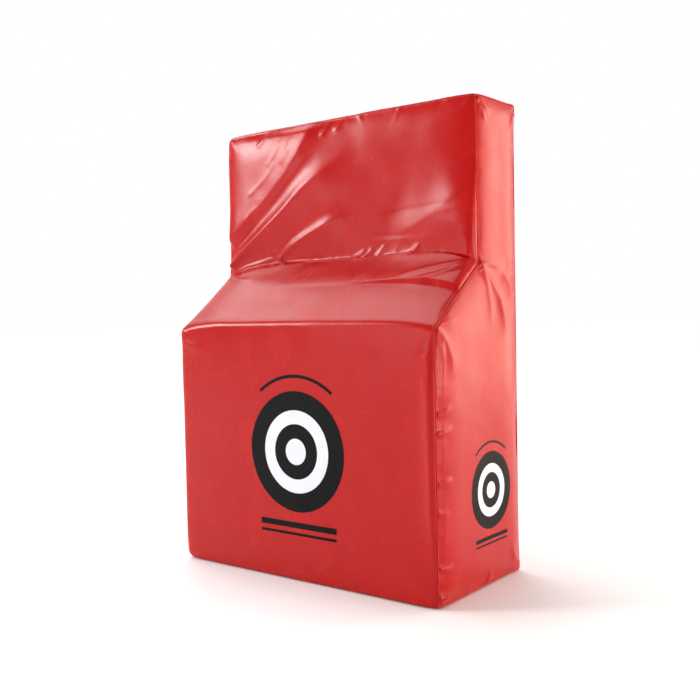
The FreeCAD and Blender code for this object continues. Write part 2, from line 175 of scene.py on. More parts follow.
def new_tree(owner):
    """The emptied node tree of a material or a world, and where its pattern is placed."""
    owner.use_nodes = True
    owner.node_tree.nodes.clear()
    return owner.node_tree, add(owner.node_tree, "TexCoord").outputs


def finished(tree, inputs):
    """A principled shader with these inputs, on the material's output."""
    add(tree, "OutputMaterial", {"Surface": add(tree, "BsdfPrincipled", inputs)})


def grained_vinyl(name, base, worn, rough=0.25, gloss=0.24):
    """Embossed PVC upholstery vinyl: a pebbled leather grain, a soft gloss, slightly uneven tone. The
    grain is a guess, drawn coarse at 2.6 mm, because the photo is too small to measure it in."""
    made = bpy.data.materials.new(name)
    tree, places = new_tree(made)
    place = places["Object"]
    cells = add(tree, "TexVoronoi", {"Vector": place, "Scale": 1 / (2.6 * MM), "Randomness": 0.9},
                feature="DISTANCE_TO_EDGE")
    pebble = add(tree, "ValToRGB", {"Fac": cells}, [(0.0, 0.0), (0.16, 0.75), (0.45, 1.0)])
    fine = add(tree, "TexNoise", {"Vector": place, "Scale": 1 / (0.6 * MM), "Detail": 2.0})
    broad = add(tree, "TexNoise", {"Vector": place, "Scale": 1 / (60 * MM), "Detail": 4.0})
    height = add(tree, "Mix", {MIX_SHARE: 0.3, MIX_FIRST: pebble, MIX_SECOND: fine}, data_type="RGBA")
    tone = add(tree, "ValToRGB", {"Fac": broad}, [(0.3, base), (0.75, worn)])
    # The grain's valleys are darkened in the base colour: painted shade, not a tone of the vinyl.
    shade = add(tree, "ValToRGB", {"Fac": pebble}, [(0.0, 0.93), (0.5, 1.0)])
    finished(tree, {
        "Base Color": add(tree, "Mix", {MIX_SHARE: 1.0, MIX_FIRST: tone, MIX_SECOND: shade},
                          data_type="RGBA", blend_type="MULTIPLY"),
        "Roughness": add(tree, "ValToRGB", {"Fac": broad}, [(0.3, rough - 0.05), (0.7, rough + 0.06)]),
        "Normal": add(tree, "Bump", {"Strength": 0.16, "Distance": 0.4 * MM, "Height": height}),
        "IOR": 1.5, "Specular IOR Level": gloss,
    })
    return made


def woven(name, dark, light, thread_mm, place_from="Object"):
    """Plain-woven polyester or polypropylene: raised threads both ways, a dull sheen seen edge-on."""
    made = bpy.data.materials.new(name)
    tree, places = new_tree(made)
    place = places[place_from]
    scale = WAVE_SCALE / (thread_mm * MM)
    warp = add(tree, "TexWave", {"Vector": place, "Scale": scale}, bands_direction="X")
    weft = add(tree, "TexWave", {"Vector": place, "Scale": scale * 0.8},
               bands_direction="Y" if place_from == "UV" else "Z")
    height = add(tree, "Mix", {MIX_SHARE: 0.5, MIX_FIRST: warp, MIX_SECOND: weft}, data_type="RGBA")
    fuzz = add(tree, "TexNoise", {"Vector": place, "Scale": 1 / (2.5 * MM), "Detail": 3.0})
    # Raised threads lighter and the hollows between them darker: painted highlight and shade on the
    # weave.
    tone = add(tree, "ValToRGB", {"Fac": height}, [(0.2, dark), (0.8, light)])
    shade = add(tree, "ValToRGB", {"Fac": fuzz}, [(0.3, 0.78), (0.7, 1.0)])
    finished(tree, {
        "Base Color": add(tree, "Mix", {MIX_SHARE: 1.0, MIX_FIRST: tone, MIX_SECOND: shade},
                          data_type="RGBA", blend_type="MULTIPLY"),
        "Roughness": add(tree, "ValToRGB", {"Fac": fuzz}, [(0.3, 0.67), (0.7, 0.83)]),
        "Normal": add(tree, "Bump", {"Strength": 0.7, "Distance": 0.3 * MM, "Height": height}),
        "Sheen Weight": 0.25, "Sheen Roughness": 0.5,
    })
    return made


def plated_metal(name, base, worn):
    """Nickel-plated zinc die casting: a bright warm grey, polished, with rubbed streaks."""
    made = bpy.data.materials.new(name)
    tree, places = new_tree(made)
    rub = add(tree, "TexNoise",
              {"Vector": places["Object"], "Scale": 1 / (3 * MM), "Detail": 5.0, "Distortion": 0.6})
    finished(tree, {
        "Base Color": add(tree, "ValToRGB", {"Fac": rub}, [(0.35, base), (0.7, worn)]),
        "Roughness": add(tree, "ValToRGB", {"Fac": rub}, [(0.3, 0.17), (0.75, 0.36)]),
        "Normal": add(tree, "Bump", {"Strength": 0.15, "Distance": 0.05 * MM, "Height": rub}),
        "Metallic": 1.0,
    })
    return made


def cellular_foam(name, dark, light, cell_mm):
    """Cut foam, open-cell polyurethane or closed-cell polyethylene: small pits, dull all over."""
    made = bpy.data.materials.new(name)
    tree, places = new_tree(made)
    pits = add(tree, "TexVoronoi", {"Vector": places["Object"], "Scale": 1 / (cell_mm * MM)})
    dull = add(tree, "TexNoise", {"Vector": places["Object"], "Scale": 1 / (8 * MM)})
    finished(tree, {
        # The pits are darker than the cell walls: painted shade in the pits.
        "Base Color": add(tree, "ValToRGB", {"Fac": pits}, [(0.1, dark), (0.6, light)]),
        "Roughness": add(tree, "ValToRGB", {"Fac": dull}, [(0.3, 0.85), (0.7, 0.95)]),
        "Normal": add(tree, "Bump", {"Strength": 0.8, "Distance": 0.5 * MM, "Height": pits}),
    })
    return made


def moulded_nylon(name, base, worn, rough):
    """Extruded nylon or spun thread: an even tone with a satin gloss."""
    made = bpy.data.materials.new(name)
    tree, places = new_tree(made)
    haze = add(tree, "TexNoise", {"Vector": places["Object"], "Scale": 1 / (1.2 * MM), "Detail": 3.0})
    finished(tree, {
        "Base Color": add(tree, "ValToRGB", {"Fac": haze}, [(0.3, base), (0.7, worn)]),
        "Roughness": add(tree, "ValToRGB", {"Fac": haze}, [(0.3, rough - 0.05), (0.7, rough + 0.08)]),
        "Normal": add(tree, "Bump", {"Strength": 0.3, "Distance": 0.1 * MM, "Height": haze}),
    })
    return made


VINYL = grained_vinyl("embossed_pvc_vinyl_red", "#B10705", "#BA0C09")
# The seam's vinyl is the cover's vinyl coloured lighter: a painted highlight along the seams.
SEAM_VINYL = grained_vinyl("folded_pvc_vinyl_red_painted_lighter", "#C0241F", "#CE322D", rough=0.42)
WHITE_INK = grained_vinyl("screen_ink_white", "#E9ECF2", "#DFE3EA", rough=0.4, gloss=0.15)
BLACK_INK = grained_vinyl("screen_ink_black", "#080808", "#0E0D0D", rough=0.45, gloss=0.1)
BLACK_VINYL = grained_vinyl("embossed_pvc_vinyl_black", "#121214", "#1A1A1D", rough=0.42)
WEBBING = woven("woven_polypropylene_webbing", "#0C0C0E", "#26262A", 2.4, place_from="UV")
HIDDEN_WEBBING = woven("woven_backing_webbing", "#101012", "#2A2A2E", 2.4)
ZIP_TAPE = woven("woven_polyester_zip_tape", "#111113", "#2B2B30", 1.2)
ZIP_COIL = moulded_nylon("nylon_zip_coil", "#151517", "#242428", 0.34)
RED_THREAD = moulded_nylon("polyester_thread_red", "#A3110E", "#C4231E", 0.55)
GREY_THREAD = moulded_nylon("polyester_thread_grey", "#86868A", "#A2A2A6", 0.55)
METAL = plated_metal("nickel_plated_zinc", "#BDB8AE", "#D2CEC6")
SOFT_FOAM = cellular_foam("open_cell_polyurethane_foam", "#7E7F80", "#B4B5B4", 1.6)
FIRM_FOAM = cellular_foam("closed_cell_polyethylene_foam", "#232426", "#3A3B3E", 1.0)


# ---- the line of the front, in the YZ plane ----
def rounded_path(corners, radii, arc_steps=8):
    """Points along a line in the YZ plane, each inner corner rounded to its radius."""
    points = [Vector(corners[0])]
    for before, corner, after, radius in zip(corners, corners[1:], corners[2:], radii):
        corner = Vector(corner)
        back = (Vector(before) - corner).normalized()
        ahead = (Vector(after) - corner).normalized()
        half = back.angle(ahead) / 2
        centre = corner + (back + ahead).normalized() * (radius / math.sin(half))
        enter = corner + back * (radius / math.tan(half))
        leave = corner + ahead * (radius / math.tan(half))
        turn = (enter - centre).angle_signed(leave - centre)
        for step in range(arc_steps + 1):
            spoke = (enter - centre).copy()
            spoke.rotate(Matrix.Rotation(-turn * step / arc_steps, 2))
            points.append(centre + spoke)
    points.append(Vector(corners[-1]))
    return np.array(points)


def measured(points):
    """The length along a line at each of its points."""
    return np.concatenate([[0], np.cumsum(np.linalg.norm(np.diff(points, axis=0), axis=1))])


LINE = rounded_path(
    [(FRONT, 0), (FRONT, STEP), (UPPER, SHOULDER), (UPPER, TOP)], [CREASE_BEND, CROOK_BEND],
)
LINE_AT = measured(LINE)
LENGTH = LINE_AT[-1]
LINE_WAYS = np.gradient(LINE, axis=0)
LINE_WAYS /= np.linalg.norm(LINE_WAYS, axis=1)[:, None]
LINE_OUT = np.stack([-LINE_WAYS[:, 1], LINE_WAYS[:, 0]], axis=1)
LINE_OUT[[0, -1]] = (-1, 0)


def front_rows():
    """Places along the front line: close together at the seams and the two bends."""
    marks = [SEAM_STEPS[-1], ZIP_LOW, ZIP_HIGH, LINE_AT[1], LINE_AT[9], LINE_AT[10], LINE_AT[18]]
    marks.append(LENGTH - SEAM_STEPS[-1])
    places = list(SEAM_STEPS)
    for low, high in zip(marks, marks[1:]):
        pitch = SPACING if high - low > 20 * MM else 2.5 * MM
        places += list(np.linspace(low, high, max(2, round((high - low) / pitch)) + 1)[1:])
    return np.array(places + [LENGTH - s for s in reversed(SEAM_STEPS[:-1])])


def edge_to_edge(width, count):
    """Distances across a panel, close together beside its two seams."""
    inner = np.linspace(SEAM_STEPS[-1], width - SEAM_STEPS[-1], count + 1)[1:-1]
    return [*SEAM_STEPS, *inner, *(width - s for s in reversed(SEAM_STEPS))]


ROWS = front_rows()
ROW_Y = np.interp(ROWS, LINE_AT, LINE[:, 0])
ROW_Z = np.interp(ROWS, LINE_AT, LINE[:, 1])
COLUMNS = np.array(edge_to_edge(2 * HALF, WIDE_COUNT)) - HALF


def lay_panel(bm, number, wide, high, place):
    """One panel of the cover as a grid, each of its points put in its place."""
    layer = bm.faces.layers.int["panel"]
    made = bmesh.ops.create_grid(bm, x_segments=wide - 1, y_segments=high - 1, size=0.5)["verts"]
    for vert in made:
        vert.co = place(round((vert.co.x + 0.5) * (wide - 1)), round((vert.co.y + 0.5) * (high - 1)))
    for face in {face for vert in made for face in vert.link_faces}:
        face[layer] = number


def flat_cover():
    """The whole cover with sharp edges, its panels welded along their seams."""
    bm = bmesh.new()
    bm.faces.layers.int.new("panel")
    wide, high = len(COLUMNS), len(ROWS)
    depths = [edge_to_edge(BACK - y, DEEP_COUNT) for y in ROW_Y]
    deep = len(depths[0])
    lay_panel(bm, 0, wide, high, lambda i, j: (COLUMNS[i], ROW_Y[j], ROW_Z[j]))
    lay_panel(bm, 1, deep, high, lambda i, j: (-HALF, ROW_Y[j] + depths[j][i], ROW_Z[j]))
    lay_panel(bm, 2, deep, high, lambda i, j: (HALF, ROW_Y[j] + depths[j][i], ROW_Z[j]))
    lay_panel(bm, 3, wide, deep, lambda i, j: (COLUMNS[i], ROW_Y[-1] + depths[-1][j], TOP))
    lay_panel(bm, 4, wide, deep, lambda i, j: (COLUMNS[i], ROW_Y[0] + depths[0][j], 0))
    lay_panel(bm, 5, wide, high, lambda i, j: (COLUMNS[i], BACK, ROW_Z[j]))
    layer = bm.faces.layers.int["panel"]
    for face in bm.faces:
        if face[layer] == 5 and face.calc_center_median().z < ZIP_HIGH:
            face[layer] = 6 if face.calc_center_median().z < ZIP_LOW else 7
    bmesh.ops.remove_doubles(bm, verts=bm.verts, dist=0.2 * MM)
    bmesh.ops.recalc_face_normals(bm, faces=bm.faces)
    return bm


# ---- how the flat cover is rounded, swollen and creased ----
def near_front(y, z):
    """Distance to the front line, and the way that the line faces at the nearest place."""
    best = np.full(len(y), FAR)
    ways = np.zeros((len(y), 2))
    points = np.stack([y, z], axis=1)
    for a, b, way_a, way_b in zip(LINE, LINE[1:], LINE_OUT, LINE_OUT[1:]):
        run = b - a
        t = np.clip(((points - a) @ run) / (run @ run), 0, 1)
        away = np.linalg.norm(points - a - t[:, None] * run, axis=1)
        closer = away < best
        best[closer] = away[closer]
        ways[closer] = (way_a + (way_b - way_a) * t[:, None])[closer]
    return best, ways / np.linalg.norm(ways, axis=1)[:, None]


EARS = [
    # corner where seams meet, and the share of the rounding lost there; a minus is rounder
    (FRONT, 0, -0.4), (BACK, 0, 0.4), (FRONT, STEP, 0.3),
    (UPPER, SHOULDER, 0.5), (UPPER, TOP, -0.45), (BACK, TOP, 0.4),
]


class Surface:
    """What each point of the flat cover is near to, and the way that it faces once rounded."""

    def __init__(self, flat):
        x, y, z = flat.T
        self.flat = flat
        self.side = HALF - np.abs(x)
        self.front, ways = near_front(y, z)
        self.back, self.top, self.base = BACK - y, TOP - z, z
        lost = sum(
            share * np.exp(-(self.side ** 2 + (y - a) ** 2 + (z - b) ** 2) / EAR_REACH ** 2)
            for a, b, share in EARS
        )
        self.radius = EDGE_ROUND * (1 - lost)
        pull = {
            name: np.maximum(0, self.radius - getattr(self, name))
            for name in ("side", "front", "back", "top", "base")
        }
        self.lean = np.stack([
            pull["side"] * np.sign(x),
            pull["front"] * ways[:, 0] + pull["back"],
            pull["front"] * ways[:, 1] + pull["top"] - pull["base"],
        ], axis=1)
        self.out = self.lean / np.maximum(np.linalg.norm(self.lean, axis=1), 1e-9)[:, None]
        on = np.stack([self.side, self.front, self.back, self.top, self.base])
        self.seam = np.sort(on, axis=0)[1]
        self.on_side = self.side < TOUCHING
        self.on_front = self.front < BESIDE_LINE
        self.on_back, self.on_top = self.back < TOUCHING, self.top < TOUCHING
        up = np.clip((z - STEP) / (SHOULDER - STEP), 0, 1)
        fade = smoothstep(STEP - 90 * MM, STEP, z) * (1 - smoothstep(SHOULDER, SHOULDER + 160 * MM, z))
        middle = 1 - np.clip(np.abs(x) / HALF, 0, 1) ** 6
        self.rise = (CREASE_RISE + (CROOK_RISE - CREASE_RISE) * up) * fade * middle * self.on_front
        self.run = np.interp(z + self.rise, LINE[:, 1], LINE_AT)

    def rounded(self):
        """The points with the sharp edges rounded."""
        points = self.flat - self.lean + self.out * self.radius[:, None]
        points[:, 2] += self.rise
        return points


def smoothstep(low, high, value):
    """0 below low, 1 above high, and a soft step between."""
    t = np.clip((value - low) / (high - low), 0, 1)
    return t * t * (3 - 2 * t)


def tent(t):
    """A ridge's height from 1 at its top, falling away on both sides."""
    return np.exp(-1.6 * (np.sqrt(t * t + 0.06) - 0.245))


def fold(across, along, line, height, left, right, ends):
    """A crease along a line: its height at each point. It is as wide as left and right say, in mm at
    its start and its end, and fades over the lengths that ends gives."""
    line = np.array(line, float) * MM
    reach = measured(line)
    best = np.full(len(across), FAR)
    place = np.zeros(len(across))
    points = np.stack([across, along], axis=1)
    for a, b, start in zip(line, line[1:], reach):
        run = b - a
        size = np.linalg.norm(run)
        t = np.clip(((points - a) @ run) / size ** 2, 0, 1)
        off = points - a - t[:, None] * run
        on_left = run[0] * off[:, 1] - run[1] * off[:, 0] > 0
        away = np.linalg.norm(off, axis=1) * np.where(on_left, 1, -1)
        closer = np.abs(away) < np.abs(best)
        best[closer] = away[closer]
        place[closer] = (start + t * size)[closer]
    share = place / reach[-1]
    width = [(a + (b - a) * share) * MM for a, b in (left, right)]
    fade = np.ones(len(across))
    for distance, length in ((place, ends[0]), (reach[-1] - place, ends[1])):
        if length:
            fade *= smoothstep(0, length * MM, distance)
    return height * MM * tent(best / np.where(best > 0, *width)) * fade


def read_points(mesh):
    """A mesh's points as an array."""
    values = np.empty(len(mesh.vertices) * 3)
    mesh.vertices.foreach_get("co", values)
    return values.reshape(-1, 3)


def write_points(mesh, points):
    """Puts an array of points into a mesh."""
    mesh.vertices.foreach_set("co", points.ravel())
    mesh.update()


def show(name, mesh, material):
    """A new object in the scene, with its material and smooth shading."""
    mesh.materials.clear()
    mesh.materials.append(material)
    mesh.polygons.foreach_set("use_smooth", [True] * len(mesh.polygons))
    made = bpy.data.objects.new(name, mesh)
    bpy.context.collection.objects.link(made)
    return made


def to_mesh(bm, name):
    """A bmesh turned into a mesh, and freed."""
    mesh = bpy.data.meshes.new(name)
    bm.to_mesh(mesh)
    bm.free()
    return mesh


def settled(obj):
    """The object's mesh with its modifiers applied; the object itself goes."""
    depsgraph = bpy.context.evaluated_depsgraph_get()
    mesh = bpy.data.meshes.new_from_object(obj.evaluated_get(depsgraph))
    bpy.data.objects.remove(obj)
    return mesh


def subdivided(mesh, kind):
    """A copy of a mesh, subdivided once."""
    obj = bpy.data.objects.new("halved", mesh)
    bpy.context.collection.objects.link(obj)
    modifier = obj.modifiers.new("halves", "SUBSURF")
    modifier.subdivision_type = kind
    modifier.levels = modifier.render_levels = 1
    return settled(obj)


UPPER_FOLDS = [
    # line in (x, z), height, widths to its left, widths to its right, lengths over which it fades
    ([(-250, 535), (-200, 566), (-155, 600), (-108, 640), (-82, 668), (-66, 695), (-58, 719)],
     7.0, (60, 110), (16, 30), (8, 0)),
    ([(-249, 488), (-214, 515), (-168, 543), (-106, 584), (-67, 612), (-30, 634), (40, 668)],
     10.0, (4, 46), (8, 130), (10, 120)),
    ([(-131, 494), (-122, 506), (-99, 521), (-61, 537), (-16, 553), (35, 568)],
     4.5, (3, 20), (5, 50), (8, 80)),
    ([(-140, 500), (-128, 502), (-124, 492), (-112, 488)], 2.4, (3, 3), (5, 5), (8, 8)),
    ([(252, 474), (256, 520), (252, 570), (250, 640)], 10.5, (150, 80), (20, 20), (0, 110)),
    ([(60, 490), (150, 489), (250, 486)], 4.5, (90, 110), (8, 8), (90, 0)),
    ([(30, 489), (42, 497), (54, 505)], 2.2, (5, 3), (4, 3), (5, 8)),
    ([(46, 490), (58, 499), (68, 507)], 1.8, (4, 3), (4, 3), (5, 8)),
    ([(72, 491), (82, 500), (90, 512)], 1.5, (4, 3), (4, 3), (5, 8)),
    ([(136, 488), (146, 497), (158, 508)], 2.4, (5, 3), (4, 3), (5, 8)),
    ([(-236, 480), (-205, 489), (-165, 496), (-138, 500)], 2.6, (4, 6), (5, 5), (16, 6)),
    ([(-225, 474), (-170, 482), (-120, 486), (-60, 490)], 2.0, (5, 7), (6, 9), (20, 30)),
    ([(-205, 566), (-186, 583), (-168, 590)], 0.5, (4, 3), (5, 4), (8, 8)),
    ([(-196, 610), (-176, 622), (-150, 640), (-128, 664)], 0.5, (3, 3), (6, 5), (10, 12)),
    ([(-150, 655), (-132, 676), (-112, 702)], 0.5, (3, 4), (5, 5), (8, 10)),
    ([(-118, 655), (-104, 676), (-92, 704)], 0.5, (3, 3), (5, 6), (8, 10)),
    ([(-176, 690), (-160, 703), (-148, 716)], 1.2, (4, 4), (6, 6), (8, 0)),
    ([(-36, 690), (-24, 703), (-16, 717)], 1.4, (4, 5), (6, 6), (8, 0)),
    ([(-8, 696), (2, 706), (8, 718)], 1.2, (4, 4), (5, 6), (6, 0)),
    ([(110, 524), (150, 538), (196, 560), (236, 590)], 0.7, (14, 20), (12, 16), (40, 30)),
    ([(238, 566), (214, 556), (186, 552)], 0.5, (6, 10), (7, 10), (8, 24)),
]
SLOPE_FOLDS = [
    ([(244, 469), (190, 463), (120, 452)], 2.6, (3, 14), (4, 12), (12, 60)),
    ([(244, 464), (205, 453), (150, 440)], 2.0, (3, 10), (4, 12), (14, 50)),
    ([(-246, 470), (-200, 466), (-150, 460)], 1.8, (4, 12), (4, 12), (10, 50)),
    ([(-247, 390), (-200, 400), (-120, 404)], 1.6, (6, 22), (6, 20), (12, 60)),
]
STEP_FOLDS = [
    ([(232, 372), (237, 300), (240, 190), (243, 50)], 5.5, (46, 80), (11, 11), (70, 90)),
    ([(249, 374), (232, 360), (216, 352)], 1.1, (5, 12), (5, 12), (4, 20)),
    ([(249, 361), (234, 342), (224, 326)], 0.9, (5, 10), (5, 10), (4, 18)),
    ([(-249, 368), (-222, 356), (-190, 352)], 1.5, (5, 12), (5, 10), (4, 30)),
    ([(250, 14), (226, 26), (196, 30)], 1.6, (5, 12), (5, 12), (4, 24)),
    ([(-250, 14), (-226, 24), (-200, 28)], 1.4, (5, 12), (5, 12), (4, 24)),
]
SIDE_FOLDS = [
    # line in (y, z), as seen from the right
    ([(1, 474), (40, 474), (82, 470)], 3.4, (5, 14), (4, 20), (3, 36)),
    ([(2, 470), (30, 452), (58, 425), (72, 392), (76, 350)], 2.8, (4, 20), (5, 16), (6, 60)),
    ([(2, 471), (22, 444), (34, 412), (38, 372)], 2.0, (4, 14), (5, 14), (10, 50)),
    ([(60, 466), (88, 446), (100, 412), (104, 372)], 2.2, (8, 14), (8, 18), (24, 50)),
    ([(-119, 382), (-96, 366), (-84, 340), (-80, 306)], 2.6, (4, 14), (4, 14), (4, 40)),
    ([(-119, 380), (-108, 356), (-104, 330)], 2.0, (3, 8), (3, 8), (4, 26)),
    ([(-117, 386), (-84, 392), (-50, 404)], 1.6, (4, 10), (4, 12), (4, 40)),
    ([(2, 716), (22, 704), (36, 684)], 2.2, (4, 9), (4, 9), (3, 24)),
    ([(4, 700), (16, 690), (26, 676)], 1.4, (3, 6), (3, 6), (3, 14)),
    ([(118, 706), (104, 692), (98, 672)], 2.4, (4, 8), (4, 8), (3, 20)),
    ([(-118, 12), (-92, 20), (-60, 22)], 1.8, (4, 12), (4, 12), (3, 30)),
    ([(12, 1), (18, 12), (20, 30)], 2.0, (6, 8), (6, 8), (0, 16)),
    ([(118, 12), (96, 26), (86, 52)], 1.8, (4, 12), (4, 12), (3, 26)),
    ([(-107, 386), (-105, 330), (-107, 276)], 1.5, (8, 7), (6, 6), (14, 20)),
    ([(-107, 262), (-105, 215), (-108, 180)], 1.1, (8, 7), (6, 6), (10, 20)),
    ([(-107, 160), (-105, 110), (-107, 60)], 1.0, (8, 7), (6, 6), (20, 20)),
    ([(-118, 266), (-102, 268), (-82, 277)], 3.0, (2.6, 4), (4, 7), (2, 22)),
    ([(-118, 240), (-100, 241), (-80, 248)], 2.8, (2.4, 4), (4, 7), (2, 22)),
    ([(-118, 172), (-100, 173), (-80, 175)], 3.0, (2.4, 4), (4, 7), (2, 22)),
    ([(-118, 132), (-104, 131), (-90, 128)], 1.8, (2.2, 3), (4, 5), (2, 16)),
    ([(-118, 56), (-100, 54), (-82, 58)], 2.8, (2.4, 4), (4, 7), (2, 22)),
    ([(-118, 260), (-104, 262), (-86, 269)], -1.4, (3, 4), (5, 7), (2, 22)),
    ([(-118, 234), (-102, 235), (-84, 241)], -1.4, (3, 4), (5, 7), (2, 22)),
    ([(-118, 166), (-102, 167), (-84, 168)], -1.4, (3, 4), (5, 7), (2, 22)),
    ([(-118, 50), (-102, 48), (-86, 51)], -1.4, (3, 4), (5, 7), (2, 22)),
    ([(-118, 18), (-104, 15), (-90, 17)], 2.6, (2.4, 3), (4, 6), (2, 16)),
]


def puckers(along, away, seed, pitch, height, reach):
    """Short uneven wrinkles that run off a seam: along is the place on it, away the distance."""
    draw = random.Random(seed)
    total = np.zeros(len(along))
    place, end = along.min(), along.max()
    while place < end:
        place += pitch * MM * (0.35 + 1.5 * draw.random() ** 2)
        wide = draw.uniform(1.6, 4.2) * MM
        length = reach * MM * (0.35 + 1.1 * draw.random() ** 2)
        tall = height * MM * draw.uniform(0.25, 1.2) * draw.choice((1, 1, -0.8))
        slant = draw.uniform(-0.7, 0.7)
        near = (np.abs(along - place) < 8 * wide + length) & (away < 2.6 * length)
        off = (along[near] - place - slant * away[near]) / wide
        total[near] += tall * np.exp(-off * off) * np.exp(-(away[near] / length) ** 2)
    return total


def unevenness(points, size, seed):
    """A soft random height, about as large as size across."""
    shift = Vector((seed * 7.3, seed * 3.1, seed * 5.7))
    return np.array([noise.noise(Vector(p) / (size * MM) + shift) for p in points])


def creased(surface):
    """How far each point moves out of the cover: folds, puckers and the seams themselves."""
    x, y, z = surface.flat.T
    move = np.zeros(len(x))
    upper = surface.on_front & (z > SHOULDER - 40 * MM)
    lower = surface.on_front & (z < SHOULDER + 30 * MM)
    ease = smoothstep(0, 16 * MM, surface.top) * smoothstep(0, 9 * MM, surface.side)
    for folds, part in ((UPPER_FOLDS, upper), (SLOPE_FOLDS, lower), (STEP_FOLDS, lower)):
        for line, height, left, right, ends in folds:
            run = [(a, 1000 * float(np.interp(b * MM, LINE[:, 1], LINE_AT))) for a, b in line]
            lift = fold(x[part], surface.run[part], run, height, left, right, ends)
            move[part] += lift * ease[part]
    for sign, share in ((1, 1.0), (-1, 0.8)):
        side = surface.on_side & (np.sign(x) == sign)
        for line, height, left, right, ends in SIDE_FOLDS:
            lift = fold(y[side], z[side], line, height, left, right, ends)
            move[side] += lift * share * smoothstep(0, 5 * MM, surface.seam[side])
    calm = smoothstep(1.5 * MM, 5 * MM, surface.seam)
    right, left = x > 0, x < 0
    seams = [
        (surface.on_side & right, z, surface.front), (surface.on_side & left, z, surface.front),
        (surface.on_side & right, z, surface.back), (surface.on_side & left, z, surface.back),
        (surface.on_front & right, surface.run, surface.side),
        (surface.on_front & left, surface.run, surface.side),
        (surface.on_front, x, surface.top), (surface.on_front, x, surface.base),
        (surface.on_top, x, surface.front), (surface.on_top, x, surface.back),
        (surface.on_back & right, z, surface.side), (surface.on_back & left, z, surface.side),
        (surface.on_back, x, surface.top),
    ]
    for seed, (part, along, away) in enumerate(seams, 12):
        lift = puckers(along[part], away[part], seed, 26, 0.75, 17)
        lift += puckers(along[part], away[part], seed + 40, 9, 0.28, 7)
        move[part] += lift * calm[part]
    bend = surface.on_front & (np.abs(z - SHOULDER) < 60 * MM)
    move[bend] += puckers(x[bend], np.abs(surface.flat[bend, 2] - SHOULDER), 71, 16, 0.55, 12)
    quiet = np.where(surface.on_back | (surface.base < TOUCHING), 0.25, 1.0)
    broad, small = (unevenness(surface.flat, size, seed) for size, seed in ((110, 1), (34, 2)))
    move += quiet * (1.3 * MM * broad + 0.35 * MM * small)
    dip = -SEAM_DEPTH * np.exp(-(surface.seam / SEAM_WIDTH) ** 2)
    lip = LIP_HEIGHT * np.exp(-((surface.seam - LIP_PLACE) / (1.4 * MM)) ** 2) * ~surface.on_side
    return move + dip + lip


def swollen(mesh, surface):
    """The cover blown up a little over its foam: held at the seams and over the board, slack beside
    the seams. The points move no further than SWELL_CAP."""
    before = read_points(mesh)
    obj = bpy.data.objects.new("swelling", mesh)
    bpy.context.collection.objects.link(obj)
    inward = smoothstep(10 * MM, 70 * MM, surface.seam)
    held = np.where(surface.seam < 1.2 * MM, 1.0, 0.02 + 0.10 * inward)
    firm = (surface.back < 0.1 * MM) | (surface.base < 0.1 * MM)
    held = np.where(firm, np.maximum(held, 0.8), held)
    for bend, grip_share in ((STEP, 0.6), (SHOULDER, 0.7)):
        close = np.exp(-((surface.flat[:, 2] - bend) / (22 * MM)) ** 2) * surface.on_front
        held = np.maximum(held, grip_share * close)
    lower_face = surface.on_front & (surface.flat[:, 2] < STEP)
    held = np.where(lower_face, np.maximum(held, 0.22), held)
    slack = np.exp(-(surface.seam / SLACK_REACH) ** 2) * ~firm
    for name, values in (("held", held), ("slack", slack)):
        group = obj.vertex_groups.new(name=name)
        for index, value in enumerate(values):
            group.add([index], float(value), "REPLACE")
    cloth = obj.modifiers.new("swell", "CLOTH")
    settings = cloth.settings
    settings.quality = 5
    settings.mass = 0.25
    settings.tension_stiffness = settings.compression_stiffness = 25
    settings.shear_stiffness = 8
    settings.bending_stiffness = 1.5
    settings.vertex_group_mass = "held"
    settings.pin_stiffness = 1.0
    settings.vertex_group_shrink = "slack"
    settings.shrink_min, settings.shrink_max = 0.0, -SLACK
    settings.use_pressure = True
    settings.uniform_pressure_force = PRESSURE
    settings.effector_weights.gravity = 0
    cloth.collision_settings.use_collision = False
    scene = bpy.context.scene
    scene.frame_start, scene.frame_end = 1, SWELL_FRAMES
    cloth.point_cache.frame_start, cloth.point_cache.frame_end = 1, SWELL_FRAMES
    for number in range(1, SWELL_FRAMES + 1):
        scene.frame_set(number)
    made = settled(obj)
    scene.frame_set(1)
    move = read_points(made) - before
    size = np.maximum(np.linalg.norm(move, axis=1), 1e-9)
    capped = SWELL_CAP * np.tanh(size / SWELL_CAP)
    write_points(made, before + move * (capped / size)[:, None])
    return made


def make_cover():
    """The cover's panels and the strip under the zip in one mesh, swollen and creased."""
    flat = to_mesh(flat_cover(), "cover_flat")
    rounded = flat.copy()
    surface = Surface(read_points(flat))
    write_points(rounded, surface.rounded())
    rounded = swollen(rounded, surface)
    flat = subdivided(flat, "SIMPLE")
    shaped = subdivided(rounded, "CATMULL_CLARK")
    surface = Surface(read_points(flat))
    points = read_points(shaped) + surface.out * creased(surface)[:, None]
    write_points(shaped, points)
    return shaped


def cut_vents(bm):
    """Takes the vinyl out from under each eyelet, after making the mesh finer there."""
    low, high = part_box("vent_eyelets")
    flange = (high.z - low.z) / 2
    for place in VENTS:
        centre = Vector((place, BACK, (low.z + high.z) / 2))
        near = [e for e in bm.edges if all((v.co - centre).length < 2.2 * flange for v in e.verts)]
        bmesh.ops.subdivide_edges(bm, edges=near, cuts=1, use_grid_fill=True)
        inside = [f for f in bm.faces if (f.calc_center_median() - centre).length < 0.62 * flange]
        bmesh.ops.delete(bm, geom=inside, context="FACES")


def split_panels(cover):
    """Each panel of the cover as a piece of its own, in place of its CAD node."""
    made = {}
    for number, name in enumerate(PANELS):
        bm = bmesh.new()
        bm.from_mesh(cover)
        layer = bm.faces.layers.int["panel"]
        others = [face for face in bm.faces if face[layer] != number]
        bmesh.ops.delete(bm, geom=others, context="FACES")
        if name == "back_panel":
            cut_vents(bm)
        made[name] = show("cover_" + name, to_mesh(bm, name), VINYL)
        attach(made[name], "shield")
        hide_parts(name)
    return made


